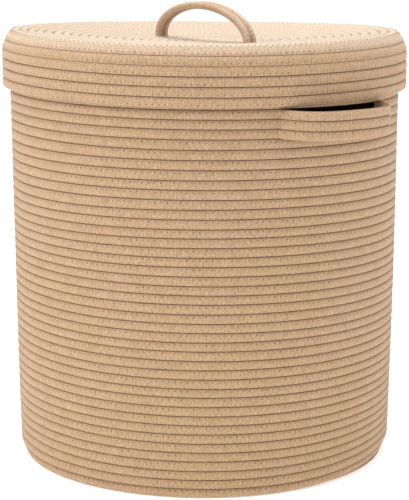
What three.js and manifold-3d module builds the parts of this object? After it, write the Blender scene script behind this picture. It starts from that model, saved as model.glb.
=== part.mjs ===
// Laundry hamper with lid: a basket and a lid, both wound from one thick cotton rope whose
// coils are sewn side by side. Millimetres, +Z up, origin at the middle of the base on the
// floor. The two side handles stand on +X and -X, where three wall coils bow outwards.
import * as THREE from 'three';
import { mergeVertices } from 'three/addons/utils/BufferGeometryUtils.js';
import Module from 'manifold-3d';

const wasm = await Module();
wasm.setup();

// ---- rope ----
const ROPE_PITCH = 9.47;           // height of one wall coil
const ROPE_THICKNESS = 7.6;        // the rope is pressed flatter across the wall
const EDGE_ROUND = 2.2;            // bevel that stands for the rope's round outside
const STITCH_GAP = 0.3;            // between pieces that are sewn against each other

// ---- basket ----
const BASE_OUTER_RADIUS = 201.8;   // at the floor
const BASE_TUCK = 4.5;             // the lowest coil turns in under the wall
const RIM_OUTER_RADIUS = 207.8;    // where the wall's flare would take the rim
const RIM_DRAW_IN = 3.4;           // the coils under the lid are drawn in by this much at the rim
const WALL_COURSES = 6;            // the plain wall below the handles, in this many courses
const RIM_LOWER_COILS = 5;         // between the handle rows and the one rim coil
const RIM_TAIL_DEGREES = 16;       // the rope's end, sewn inside the rim
const RIM_TAIL_DIRECTION = 70;     // degrees round from +X
const RIM_TAIL_DROP = 3.5;         // below the top of the rim

// ---- side handles ----
const COILS_BELOW_HANDLE = 38;
const HANDLE_STRANDS = 3;
const SLOT_HALF_LENGTH = 68.5;     // straight half length of the slot, along Y
const HANDLE_BOW = 32;             // how far the middle of a strand stands off the wall
const BOW_SQUARENESS = 4;          // 2 is an even arch, more has steeper ends and a flatter middle
const HANDLE_SAG = 1.4;
const HANDLE_TOP_GAP = 1.2;        // to the coil above, for the tilt
const HANDLE_BOTTOM_GAP = 1.8;     // to the coil below, for the tilt
const HANDLE_END_GAP = 0.6;
const STRAND_END_SHARE = 1.03;     // a strand's ends run on a little way into the wall
const STRAND_STEPS = 28;

// ---- lid ----
const LID_CLEARANCE = 0.6;         // radial, between the skirt and the wall
const SKIRT_COILS = 5;
const SKIRT_HANDLE_GAP = 4.6;      // from the top handle row to the lower edge of the skirt
const SKIRT_TOP_DROP = 2.5;        // from the lid's seat on the rim down to the skirt's upper edge
const SHOULDER_INSET = 3.3;        // the skirt's highest coil leans in to meet the shoulder
const SHOULDER_RUN = 5.6;          // the shoulder coil leans in by this much
const CREST_DROP = 1.6;            // from the lid's highest coil down to the shoulder's upper edge
const EDGE_COIL_WIDTH = 9.3;
const SEAM_SLANT = 1.2;            // the edge coil is narrower above than below
const DISH_DEPTH = 10.3;           // the middle of the lid hangs lower than its edge
const DISH_STEPS = 6;

// ---- lid handle ----
const LOOP_ROPE_DIAMETER = 8.6;
const LOOP_HALF_SPAN = 73.2;       // from the middle of the lid to the middle of a foot
const LOOP_RISE = 35.0;            // rope centre above the lid, in the middle
const LOOP_SQUARENESS = 2;         // 2 is an ellipse, more is squarer
const LOOP_LEAN = 5.0;             // the loop leans towards -Y
const LOOP_FOOT_CLEARANCE = 0.5;
const LOOP_STEPS = 26;
const LOOP_SIDES = 10;
const TAIL_LENGTH = 34;            // ends of the loop, sewn flat under the lid
const TAIL_THICKNESS = 7.0;

const SEGMENTS = 48;               // facets round the basket

// ---- worked out from the sizes above ----
const handleBottom = COILS_BELOW_HANDLE * ROPE_PITCH;
const handleTop = handleBottom + HANDLE_STRANDS * ROPE_PITCH;
const rimCoilBottom = handleTop + RIM_LOWER_COILS * ROPE_PITCH;
const rimHeight = rimCoilBottom + ROPE_PITCH;
const seatHeight = rimHeight + STITCH_GAP;
const crestTop = seatHeight + ROPE_THICKNESS;
const skirtBottom = handleTop + SKIRT_HANDLE_GAP;
const skirtTop = seatHeight - SKIRT_TOP_DROP;
const lidPitch = (skirtTop - skirtBottom) / SKIRT_COILS;
const skirtInnerRadius = Math.max(wallOuterRadius(skirtBottom), wallOuterRadius(skirtTop)) + LID_CLEARANCE;
const skirtOuterRadius = skirtInnerRadius + ROPE_THICKNESS;

// The seams between the lid's coils from the skirt to the disc, each from its inner to its outer
// end, as [radius, height].
const skirtSeam = {
  inner: [wallOuterRadius(rimHeight) + 2 * LID_CLEARANCE, skirtTop],
  outer: [skirtOuterRadius - SHOULDER_INSET, skirtTop],
};
const shoulderSeam = {
  inner: [wallOuterRadius(rimHeight) - LID_CLEARANCE, seatHeight],
  outer: [skirtSeam.outer[0] - SHOULDER_RUN, crestTop - CREST_DROP],
};
const discRadius = shoulderSeam.outer[0] - EDGE_COIL_WIDTH;
const discSeam = {
  inner: [discRadius - SEAM_SLANT, seatHeight],
  outer: [discRadius, crestTop],
};

// The wall flares evenly up to the handles; the coils above them are drawn in under the lid.
function wallOuterRadius(z) {
  const flare = THREE.MathUtils.mapLinear(z, 0, rimHeight, BASE_OUTER_RADIUS, RIM_OUTER_RADIUS);
  const underLid = THREE.MathUtils.mapLinear(z, handleTop, rimHeight, 0, 1);
  return flare - RIM_DRAW_IN * Math.max(underLid, 0);
}

function discTopHeight(radius) {
  return crestTop - DISH_DEPTH * (1 - (radius / discRadius) ** 2);
}

// ---- materials ----
const basketRope = new THREE.MeshStandardMaterial({ color: 0xc2a27e, roughness: 0.95, metalness: 0 });
const lidRope = new THREE.MeshStandardMaterial({ color: 0xccac88, roughness: 0.95, metalness: 0 });
const handleRope = new THREE.MeshStandardMaterial({ color: 0xc8a884, roughness: 0.95, metalness: 0 });

// ---- solids ----
function toSolid(geometry) {
  const bare = geometry.clone();
  bare.deleteAttribute('normal');
  bare.deleteAttribute('uv');
  const merged = mergeVertices(bare, 1e-4);
  return new wasm.Manifold(new wasm.Mesh({
    numProp: 3,
    vertProperties: new Float32Array(merged.attributes.position.array),
    triVerts: new Uint32Array(merged.index.array),
  }));
}

function toGeometry(solid) {
  const mesh = solid.getMesh();
  const geometry = new THREE.BufferGeometry();
  geometry.setAttribute('position', new THREE.BufferAttribute(new Float32Array(mesh.vertProperties), 3));
  geometry.setIndex(new THREE.BufferAttribute(new Uint32Array(mesh.triVerts), 1));
  geometry.computeVertexNormals();
  return geometry;
}

// A ring or disc turned about Z from [radius, height] corners, counter-clockwise.
function turned(corners, closed = true) {
  const points = corners.map(([radius, height]) => new THREE.Vector2(radius, height));
  if (closed) points.push(points[0].clone());
  return new THREE.LatheGeometry(points, SEGMENTS).rotateX(Math.PI / 2);
}

// A course of wall coils between two heights, following the flare of the wall.
function wallCourse(bottom, top) {
  const low = bottom + STITCH_GAP / 2;
  const high = top - STITCH_GAP / 2;
  const lowOuter = wallOuterRadius(low);
  const highOuter = wallOuterRadius(high);
  return turned([
    [lowOuter - ROPE_THICKNESS, low],
    [lowOuter - EDGE_ROUND, low],
    [lowOuter, low + EDGE_ROUND],
    [highOuter, high - EDGE_ROUND],
    [highOuter - EDGE_ROUND, high],
    [highOuter - ROPE_THICKNESS, high],
  ]);
}

// A point on the way from one corner to another, this far from the first.
function between(from, to, distance) {
  const start = new THREE.Vector2(...from);
  const step = new THREE.Vector2(...to).sub(start).setLength(distance);
  return start.add(step).toArray();
}

// One coil of the lid between two seams, with its outer edges bevelled.
function lidCoil(lowSeam, highSeam) {
  const gap = STITCH_GAP / 2;
  const innerLow = between(lowSeam.inner, highSeam.inner, gap);
  const innerHigh = between(highSeam.inner, lowSeam.inner, gap);
  const outerLow = between(lowSeam.outer, highSeam.outer, gap);
  const outerHigh = between(highSeam.outer, lowSeam.outer, gap);
  return turned([
    innerLow,
    between(outerLow, innerLow, EDGE_ROUND),
    between(outerLow, outerHigh, EDGE_ROUND),
    between(outerHigh, outerLow, EDGE_ROUND),
    between(outerHigh, innerHigh, EDGE_ROUND),
    innerHigh,
  ]);
}

function uprightSeam(height) {
  return { inner: [skirtInnerRadius, height], outer: [skirtOuterRadius, height] };
}

function block(centre, size) {
  const geometry = new THREE.BoxGeometry(size.x, size.y, size.z);
  return geometry.translate(centre.x, centre.y, centre.z);
}

// ---- basket pieces ----
const reach = 2 * skirtOuterRadius;

function baseSpiral() {
  const radius = BASE_OUTER_RADIUS - BASE_TUCK - ROPE_THICKNESS - STITCH_GAP;
  return turned([
    [0, 0],
    [radius - EDGE_ROUND, 0],
    [radius, EDGE_ROUND],
    [radius, ROPE_THICKNESS - EDGE_ROUND],
    [radius - EDGE_ROUND, ROPE_THICKNESS],
    [0, ROPE_THICKNESS],
  ], false);
}

function baseEdgeCoil() {
  const high = ROPE_PITCH - STITCH_GAP / 2;
  const lowOuter = BASE_OUTER_RADIUS - BASE_TUCK;
  const highOuter = wallOuterRadius(high);
  return turned([
    [lowOuter - ROPE_THICKNESS, 0],
    [lowOuter - EDGE_ROUND, 0],
    [lowOuter, EDGE_ROUND],
    [highOuter, high - EDGE_ROUND],
    [highOuter - EDGE_ROUND, high],
    [highOuter - ROPE_THICKNESS, high],
  ]);
}

// A handle row is a whole coil with the two slots cut out of it, kept as its front or back part.
function handleRow(row, side) {
  const bottom = handleBottom + row * ROPE_PITCH;
  const coil = toSolid(wallCourse(bottom, bottom + ROPE_PITCH));
  const depth = reach - SLOT_HALF_LENGTH;
  const keep = toSolid(block(
    new THREE.Vector3(0, side * (SLOT_HALF_LENGTH + depth / 2), rimHeight / 2),
    new THREE.Vector3(2 * reach, depth, 2 * rimHeight),
  ));
  return toGeometry(coil.intersect(keep));
}

// The end of the basket's rope: a short length sewn against the inside of the rim coil.
function rimTail() {
  const top = rimHeight - RIM_TAIL_DROP;
  const narrowest = Math.min(wallOuterRadius(top - 2 * ROPE_PITCH), wallOuterRadius(rimHeight));
  const outer = narrowest - ROPE_THICKNESS - 2 * STITCH_GAP;
  const half = THREE.MathUtils.degToRad(RIM_TAIL_DEGREES / 2);
  const middle = THREE.MathUtils.degToRad(RIM_TAIL_DIRECTION);
  const outline = new THREE.Shape();
  outline.absarc(0, 0, outer, middle - half, middle + half, false);
  outline.absarc(0, 0, outer - ROPE_THICKNESS, middle + half, middle - half, true);
  const height = ROPE_PITCH - 2 * STITCH_GAP;
  return new THREE.ExtrudeGeometry(outline, { depth: height, bevelEnabled: false, curveSegments: 8 })
    .translate(0, 0, top - height);
}

// ---- side handle strands ----
class BowedCoil extends THREE.Curve {
  constructor(middleRadius, height, halfAngle) {
    super();
    this.middleRadius = middleRadius;
    this.height = height;
    this.halfAngle = halfAngle;
  }

  getPoint(t, target = new THREE.Vector3()) {
    const share = (2 * t - 1) * STRAND_END_SHARE;
    const angle = share * this.halfAngle;
    const bow = 1 - Math.abs(share) ** BOW_SQUARENESS;
    const radius = this.middleRadius + HANDLE_BOW * bow;
    return target.set(radius * Math.cos(angle), radius * Math.sin(angle), this.height - HANDLE_SAG * bow);
  }
}

function ropeOutline(height, thickness) {
  const h = height / 2;
  const w = thickness / 2;
  const e = Math.min(EDGE_ROUND, h / 2, w / 2);
  return new THREE.Shape([
    new THREE.Vector2(-h, -w + e), new THREE.Vector2(-h + e, -w),
    new THREE.Vector2(h - e, -w), new THREE.Vector2(h, -w + e),
    new THREE.Vector2(h, w - e), new THREE.Vector2(h - e, w),
    new THREE.Vector2(-h + e, w), new THREE.Vector2(-h, w - e),
  ]);
}

function handleStrand(row) {
  const bandBottom = handleBottom + HANDLE_BOTTOM_GAP;
  const bandTop = handleTop - HANDLE_TOP_GAP;
  const pitch = (bandTop - bandBottom) / HANDLE_STRANDS;
  const height = bandBottom + (row + 0.5) * pitch;
  const middleRadius = wallOuterRadius(height) - ROPE_THICKNESS / 2;
  const halfAngle = Math.asin(SLOT_HALF_LENGTH / middleRadius);
  const strand = new THREE.ExtrudeGeometry(ropeOutline(pitch - STITCH_GAP, ROPE_THICKNESS), {
    steps: STRAND_STEPS, extrudePath: new BowedCoil(middleRadius, height, halfAngle),
  });
  const length = 2 * (SLOT_HALF_LENGTH - HANDLE_END_GAP);
  const slot = block(
    new THREE.Vector3(reach / 2, 0, height),
    new THREE.Vector3(reach, length, 2 * ROPE_PITCH),
  );
  return toGeometry(toSolid(strand).intersect(toSolid(slot)));
}

// ---- lid pieces ----
function lidDisc() {
  const upper = [];
  const lower = [];
  for (let step = 0; step < DISH_STEPS; step += 1) {
    const radius = discRadius * step / DISH_STEPS;
    upper.unshift([radius, discTopHeight(radius)]);
    lower.push([radius, discTopHeight(radius) - ROPE_THICKNESS]);
  }
  return turned([
    ...lower,
    [discSeam.inner[0] - STITCH_GAP, seatHeight],
    [discSeam.outer[0] - STITCH_GAP, crestTop],
    ...upper,
  ], false);
}

// ---- lid handle ----
class LoopArch extends THREE.Curve {
  constructor(sideOffset) {
    super();
    this.sideOffset = sideOffset;
  }

  getPoint(t, target = new THREE.Vector3()) {
    const angle = Math.PI * t;
    const power = 2 / LOOP_SQUARENESS;
    const across = Math.sign(Math.cos(angle)) * Math.abs(Math.cos(angle)) ** power;
    const up = Math.max(Math.sin(angle), 0) ** power;
    return target.set(LOOP_HALF_SPAN * across, this.sideOffset - LOOP_LEAN * up, discTop + LOOP_RISE * up);
  }
}

const discTop = discTopHeight(LOOP_HALF_SPAN);
const loopSideOffset = (LOOP_ROPE_DIAMETER + STITCH_GAP) / 2;
const loopFootRadius = LOOP_ROPE_DIAMETER + STITCH_GAP / 2;
const loopAxisHeight = discTopHeight(LOOP_HALF_SPAN + LOOP_ROPE_DIAMETER / 2)
  + LOOP_FOOT_CLEARANCE + loopFootRadius;

// Each rope of the loop; below the axis of its sway the feet are rounded about that axis.
function loopRope(side) {
  const outline = new THREE.Shape();
  outline.absarc(0, 0, LOOP_ROPE_DIAMETER / 2, 0, 2 * Math.PI, false);
  const rope = toSolid(new THREE.ExtrudeGeometry(new THREE.Shape(outline.getPoints(LOOP_SIDES).slice(1)), {
    steps: LOOP_STEPS, extrudePath: new LoopArch(side * loopSideOffset),
  }));
  const above = toSolid(block(
    new THREE.Vector3(0, 0, loopAxisHeight + LOOP_RISE),
    new THREE.Vector3(reach, reach, 2 * LOOP_RISE),
  ));
  const knuckle = toSolid(
    new THREE.CylinderGeometry(loopFootRadius, loopFootRadius, reach, 2 * LOOP_SIDES)
      .rotateZ(Math.PI / 2).translate(0, 0, loopAxisHeight),
  );
  return toGeometry(rope.intersect(above.add(knuckle)));
}

// The two rope ends of one foot, turned inwards and sewn flat against the underside of the lid.
function loopTail(side) {
  const width = 2 * LOOP_ROPE_DIAMETER + STITCH_GAP;
  const top = discTopHeight(0) - ROPE_THICKNESS - STITCH_GAP;
  const outline = new THREE.Shape();
  outline.moveTo(-TAIL_LENGTH / 2, -width / 2);
  outline.lineTo(TAIL_LENGTH / 2 - width / 2, -width / 2);
  outline.absarc(TAIL_LENGTH / 2 - width / 2, 0, width / 2, -Math.PI / 2, Math.PI / 2, false);
  outline.lineTo(-TAIL_LENGTH / 2, width / 2);
  const tail = new THREE.ExtrudeGeometry(outline, {
    depth: TAIL_THICKNESS, bevelEnabled: false, curveSegments: 8,
  });
  if (side > 0) tail.rotateZ(Math.PI);
  const middle = side * (LOOP_HALF_SPAN + LOOP_ROPE_DIAMETER / 2 - TAIL_LENGTH / 2);
  return tail.translate(middle, 0, top - TAIL_THICKNESS);
}

// ---- assembly ----
const hamper = new THREE.Group();

function add(parent, name, geometry, material) {
  const mesh = new THREE.Mesh(geometry, material);
  mesh.name = name;
  parent.add(mesh);
  return mesh;
}

function buildBasket() {
  const basket = new THREE.Group();
  add(basket, 'base_spiral', baseSpiral(), basketRope);
  add(basket, 'base_edge_coil', baseEdgeCoil(), basketRope);
  const plainHeight = handleBottom - ROPE_PITCH;
  for (let course = 0; course < WALL_COURSES; course += 1) {
    const bottom = ROPE_PITCH + plainHeight * course / WALL_COURSES;
    const top = ROPE_PITCH + plainHeight * (course + 1) / WALL_COURSES;
    add(basket, `wall_course_${course + 1}`, wallCourse(bottom, top), basketRope);
  }
  for (let row = 0; row < HANDLE_STRANDS; row += 1) {
    add(basket, `handle_row_front_${row + 1}`, handleRow(row, -1), basketRope);
    add(basket, `handle_row_back_${row + 1}`, handleRow(row, 1), basketRope);
  }
  add(basket, 'rim_lower_course', wallCourse(handleTop, rimCoilBottom), basketRope);
  add(basket, 'rim_coil', wallCourse(rimCoilBottom, rimHeight), basketRope);
  add(basket, 'rim_rope_tail', rimTail(), basketRope);
  return basket;
}

// The strands are made on +X; the other handle is the same piece turned half way round.
function buildSideHandle(name, turn) {
  const handle = new THREE.Group();
  for (let row = 0; row < HANDLE_STRANDS; row += 1) {
    add(handle, `${name}_strand_${row + 1}`, handleStrand(row), handleRope);
  }
  handle.rotation.z = turn;
  return handle;
}

function buildLid() {
  const lid = new THREE.Group();
  add(lid, 'lid_disc', lidDisc(), lidRope);
  add(lid, 'lid_edge_coil', lidCoil(shoulderSeam, discSeam), lidRope);
  add(lid, 'lid_shoulder_coil', lidCoil(skirtSeam, shoulderSeam), lidRope);
  for (let coil = 0; coil < SKIRT_COILS; coil += 1) {
    const bottom = skirtTop - (coil + 1) * lidPitch;
    const upperSeam = coil === 0 ? skirtSeam : uprightSeam(bottom + lidPitch);
    add(lid, `lid_skirt_coil_${coil + 1}`, lidCoil(uprightSeam(bottom), upperSeam), lidRope);
  }
  add(lid, 'lid_handle_tail_left', loopTail(-1), handleRope);
  add(lid, 'lid_handle_tail_right', loopTail(1), handleRope);
  return lid;
}

function buildLidHandle() {
  const handle = new THREE.Group();
  add(handle, 'lid_handle_rope_front', loopRope(-1), handleRope);
  add(handle, 'lid_handle_rope_back', loopRope(1), handleRope);
  return handle;
}

hamper.add(buildBasket());
hamper.add(buildSideHandle('right_handle', 0));
hamper.add(buildSideHandle('left_handle', Math.PI));
hamper.add(buildLid());
hamper.add(buildLidHandle());

export default hamper;
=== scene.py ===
"""Looks of a rope laundry hamper with a lid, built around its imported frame.

The basket and the lid are each one long cotton rope, wound in coils and sewn coil to coil with
a zigzag seam. Python works out where each rope runs, and two Geometry Nodes trees turn a run
into a rope and a groove into a line of zigzag stitches. All sizes are in metres.
"""
import logging
import math
from dataclasses import dataclass, field
from enum import Enum

import bpy
import numpy as np
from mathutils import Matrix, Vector


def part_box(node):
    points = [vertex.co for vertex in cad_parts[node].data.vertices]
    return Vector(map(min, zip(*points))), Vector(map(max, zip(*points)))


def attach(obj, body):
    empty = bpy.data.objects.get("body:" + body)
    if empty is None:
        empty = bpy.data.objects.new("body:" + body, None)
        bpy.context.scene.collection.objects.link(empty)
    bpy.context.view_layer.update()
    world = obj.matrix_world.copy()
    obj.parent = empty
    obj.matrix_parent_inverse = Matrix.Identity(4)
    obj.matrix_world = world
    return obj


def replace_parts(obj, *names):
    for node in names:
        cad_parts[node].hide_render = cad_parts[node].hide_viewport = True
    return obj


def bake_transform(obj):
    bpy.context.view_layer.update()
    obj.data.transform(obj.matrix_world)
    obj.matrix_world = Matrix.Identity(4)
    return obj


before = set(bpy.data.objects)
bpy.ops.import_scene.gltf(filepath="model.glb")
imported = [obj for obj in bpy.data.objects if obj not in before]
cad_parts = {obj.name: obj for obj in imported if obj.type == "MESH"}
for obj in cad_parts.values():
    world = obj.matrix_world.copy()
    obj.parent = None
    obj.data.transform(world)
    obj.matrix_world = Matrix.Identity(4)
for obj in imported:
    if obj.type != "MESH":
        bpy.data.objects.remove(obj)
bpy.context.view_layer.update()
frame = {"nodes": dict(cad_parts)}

LOG = logging.getLogger("hamper")
UP = np.array([0.0, 0.0, 1.0])


class Slot(Enum):
    """The record's material slots."""

    BASKET = "basket_rope"
    LID = "lid_rope"
    HANDLE = "handle_rope"


class Side(Enum):
    """The two side handles, by the direction that they point in."""

    RIGHT = 1
    LEFT = -1


def smooth(x: np.ndarray) -> np.ndarray:
    """An even ramp from 0 to 1.

    Args:
        x: Where on the ramp, 0 at its start and 1 at its end.

    Returns:
        The height of the ramp.
    """
    x = np.clip(x, 0.0, 1.0)
    return x * x * (3.0 - 2.0 * x)


def around(angle: np.ndarray) -> np.ndarray:
    """Unit vectors that point outwards at these angles round the hamper.

    Args:
        angle: Angles from +X, in radians.

    Returns:
        One vector for each angle.
    """
    return np.stack([np.cos(angle), np.sin(angle), np.zeros_like(angle)], axis=-1)


def unit(vectors: np.ndarray) -> np.ndarray:
    """The same vectors with a length of 1."""
    return vectors / np.linalg.norm(vectors, axis=-1, keepdims=True)


def upward(like: np.ndarray) -> np.ndarray:
    """The direction straight up, once for each of these vectors."""
    return np.broadcast_to(UP, like.shape)


def lengths(points: np.ndarray) -> np.ndarray:
    """Distance along a line of points, from 0 at the first one."""
    return np.concatenate([[0.0], np.cumsum(np.linalg.norm(np.diff(points, axis=0), axis=1))])


def evenly(points: np.ndarray, step: float) -> np.ndarray:
    """The same line, with its points at even distances.

    Args:
        points: The points in order.
        step: Distance between the new points.

    Returns:
        The new points.
    """
    along = lengths(points)
    even = np.arange(0.0, along[-1], step)
    return np.stack([np.interp(even, along, points[:, i]) for i in range(3)], axis=1)


def place(name: str, data: bpy.types.ID) -> bpy.types.Object:
    """Adds an object to the scene.

    Args:
        name: The object's name.
        data: Its mesh, camera or light.

    Returns:
        The object.
    """
    made = bpy.data.objects.new(name, data)
    bpy.context.scene.collection.objects.link(made)
    return made


# ---------------------------------------------------------------- sizes from the frame


@dataclass(frozen=True)
class HamperSizes:
    """Sizes of the hamper, read from the frame's nodes."""

    pitch: float
    thickness: float
    base_radius: float
    base_tuck: float
    widest_radius: float
    rim_radius: float
    rim_coil_bottom: float
    rows_below_handle: int
    handle_rows: int
    rows: int
    handle_bow: float
    slot_half_length: float
    skirt_radius: float
    skirt_top: float
    skirt_bottom: float
    skirt_coils: int
    disc_radius: float
    disc_bottom: float
    crest: float
    loop_half_span: float
    loop_rope: float
    loop_top: float

    STITCH_GAP = 0.0003
    HANDLE_END_GAP = 0.0006

    @classmethod
    def from_frame(cls) -> "HamperSizes":
        """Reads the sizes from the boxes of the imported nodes.

        Returns:
            The sizes in metres.
        """
        names = frame["nodes"]
        handle_rows = len([n for n in names if n.startswith("right_handle_strand_")])
        skirt_coils = len([n for n in names if n.startswith("lid_skirt_coil_")])
        row_low, row_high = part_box("handle_row_front_1")[0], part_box(f"handle_row_front_{handle_rows}")[1]
        pitch = (row_high.z - row_low.z + cls.STITCH_GAP) / handle_rows
        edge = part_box("base_edge_coil")[1]
        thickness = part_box("base_spiral")[1].z
        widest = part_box("rim_lower_course")[1].x
        rim_low, rim_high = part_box("rim_coil")
        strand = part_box("right_handle_strand_2")[1]
        disc_low, disc_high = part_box("lid_disc")
        loop_front, loop_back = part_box("lid_handle_rope_front")[1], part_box("lid_handle_rope_back")[1]
        rope = loop_back.y - loop_front.y - cls.STITCH_GAP
        return cls(
            pitch=pitch,
            thickness=thickness,
            base_radius=edge.x,
            base_tuck=edge.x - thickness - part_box("base_spiral")[1].x,
            widest_radius=widest,
            rim_radius=rim_high.x,
            rim_coil_bottom=rim_low.z,
            rows_below_handle=round(row_low.z / pitch),
            handle_rows=handle_rows,
            rows=round(rim_high.z / pitch),
            handle_bow=strand.x - widest,
            slot_half_length=strand.y + cls.HANDLE_END_GAP,
            skirt_radius=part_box("lid_skirt_coil_2")[1].x,
            skirt_top=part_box("lid_skirt_coil_1")[1].z,
            skirt_bottom=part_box(f"lid_skirt_coil_{skirt_coils}")[0].z,
            skirt_coils=skirt_coils,
            disc_radius=disc_high.x,
            disc_bottom=disc_low.z,
            crest=disc_high.z,
            loop_half_span=loop_front.x - rope / 2.0,
            loop_rope=rope,
            loop_top=loop_front.z,
        )

    def wall_middle(self, height: np.ndarray) -> np.ndarray:
        """Radius of the middle of the wall rope: it flares up to the handles and draws in above them.

        Args:
            height: Heights above the floor.

        Returns:
            One radius for each height.
        """
        handle_top = (self.rows_below_handle + self.handle_rows) * self.pitch
        outer = np.interp(height, (0.0, handle_top, self.rim_coil_bottom),
                          (self.base_radius, self.widest_radius, self.rim_radius))
        return outer - self.thickness / 2.0


# ---------------------------------------------------------------- rope and seam runs


@dataclass
class Run:
    """One run of rope, or one seam along a groove, as matching lists of values.

    Attributes:
        centre: Points along the middle of the rope, or along the groove.
        across: Unit vectors out of the sewn surface.
        rise: Unit vectors along the sewn surface, to the next coil.
        half_across: Half the rope's thickness.
        half_rise: Half the rope's width.
        length: Distance along the rope.
        seam_up: Stitch count along the groove on the rise side, or a negative number for no seam.
        seam_down: Stitch count along the other groove, or a negative number for no seam.
    """

    centre: np.ndarray
    across: np.ndarray
    rise: np.ndarray
    half_across: np.ndarray
    half_rise: np.ndarray
    length: np.ndarray
    seam_up: np.ndarray
    seam_down: np.ndarray


NO_SEAM = -1.0
RUN_VECTORS = ("centre", "across", "rise")
RUN_VALUES = ("half_across", "half_rise", "length", "seam_up", "seam_down")


def make_run(centre: np.ndarray, across: np.ndarray, rise: np.ndarray, half_across: float | np.ndarray,
             half_rise: float | np.ndarray, seam_up: float | np.ndarray = NO_SEAM,
             seam_down: float | np.ndarray = NO_SEAM) -> Run:
    """Fills in a run, with its length measured along its points.

    Args:
        centre: Points along the run.
        across: Directions out of the sewn surface.
        rise: Directions to the next coil.
        half_across: Half the rope's thickness.
        half_rise: Half the rope's width.
        seam_up: Stitch count on the rise side.
        seam_down: Stitch count on the other side.

    Returns:
        The run, ready to be made into a mesh.
    """
    count = len(centre)
    return Run(
        centre=centre,
        across=unit(across),
        rise=unit(rise),
        half_across=np.broadcast_to(half_across, count),
        half_rise=np.broadcast_to(half_rise, count),
        length=lengths(centre),
        seam_up=np.broadcast_to(seam_up, count),
        seam_down=np.broadcast_to(seam_down, count),
    )


def run_object(name: str, runs: list[Run]) -> bpy.types.Object:
    """Makes an object of bare edges that carries the runs' values on its points.

    Args:
        name: The object's name.
        runs: The runs, each of which becomes one open chain of edges.

    Returns:
        The object, linked to the scene.
    """
    points = np.concatenate([r.centre for r in runs])
    edges, start = [], 0
    for r in runs:
        index = np.arange(start, start + len(r.centre) - 1)
        edges.append(np.stack([index, index + 1], axis=1))
        start += len(r.centre)
    mesh = bpy.data.meshes.new(name)
    mesh.from_pydata(points.tolist(), np.concatenate(edges).tolist(), [])
    kinds = {**dict.fromkeys(RUN_VECTORS, ("FLOAT_VECTOR", "vector")),
             **dict.fromkeys(RUN_VALUES, ("FLOAT", "value"))}
    for key, (kind, field_name) in kinds.items():
        value = np.concatenate([getattr(r, key) for r in runs]).astype(np.float32)
        mesh.attributes.new(key, kind, "POINT").data.foreach_set(field_name, value.ravel())
    return place(name, mesh)


# ---------------------------------------------------------------- node trees


class TreeBuilder:
    """Adds nodes to a node tree and joins them up."""

    def __init__(self, tree: bpy.types.NodeTree) -> None:
        """Starts on an empty tree.

        Args:
            tree: The tree to fill.
        """
        self.tree = tree

    def node(self, kind: str, inputs: dict[str | int, object] | None = None,
             **settings: object) -> bpy.types.Node:
        """Adds one node.

        Args:
            kind: The node's type name.
            inputs: Values or output sockets for its inputs, by name or number.
            settings: Properties of the node.

        Returns:
            The new node.
        """
        made = self.tree.nodes.new(kind)
        for key, value in settings.items():
            setattr(made, key, value)
        for key, value in (inputs or {}).items():
            socket = made.inputs[key]
            if isinstance(value, bpy.types.NodeSocket):
                self.tree.links.new(value, socket)
            else:
                socket.default_value = value
        return made

    def math(self, operation: str, first: object, second: object = 0.0, third: object = 0.0,
             clamp: bool = False) -> bpy.types.NodeSocket:
        """Adds a Math node and returns its output."""
        values = {0: first, 1: second, 2: third}
        return self.node("ShaderNodeMath", values, operation=operation, use_clamp=clamp).outputs[0]

    def vector(self, operation: str, first: object, second: object = (0.0, 0.0, 0.0),
               scale: object = 1.0) -> bpy.types.NodeSocket:
        """Adds a Vector Math node.

        Args:
            operation: What it does.
            first: The first vector.
            second: The second vector, where the operation takes one.
            scale: What SCALE multiplies by.

        Returns:
            The node's output.
        """
        made = self.node("ShaderNodeVectorMath", {0: first, 1: second}, operation=operation)
        if operation == "SCALE":
            socket = made.inputs["Scale"]
            if isinstance(scale, bpy.types.NodeSocket):
                self.tree.links.new(scale, socket)
            else:
                socket.default_value = scale
        return made.outputs[0]

    def ramp(self, value: object, low: float, high: float, start: float = 0.0,
             end: float = 1.0) -> bpy.types.NodeSocket:
        """Adds a smooth Map Range node from low..high to start..end and returns its output."""
        return self.node("ShaderNodeMapRange", {0: value, 1: low, 2: high, 3: start, 4: end},
                         interpolation_type="SMOOTHSTEP").outputs[0]


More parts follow.
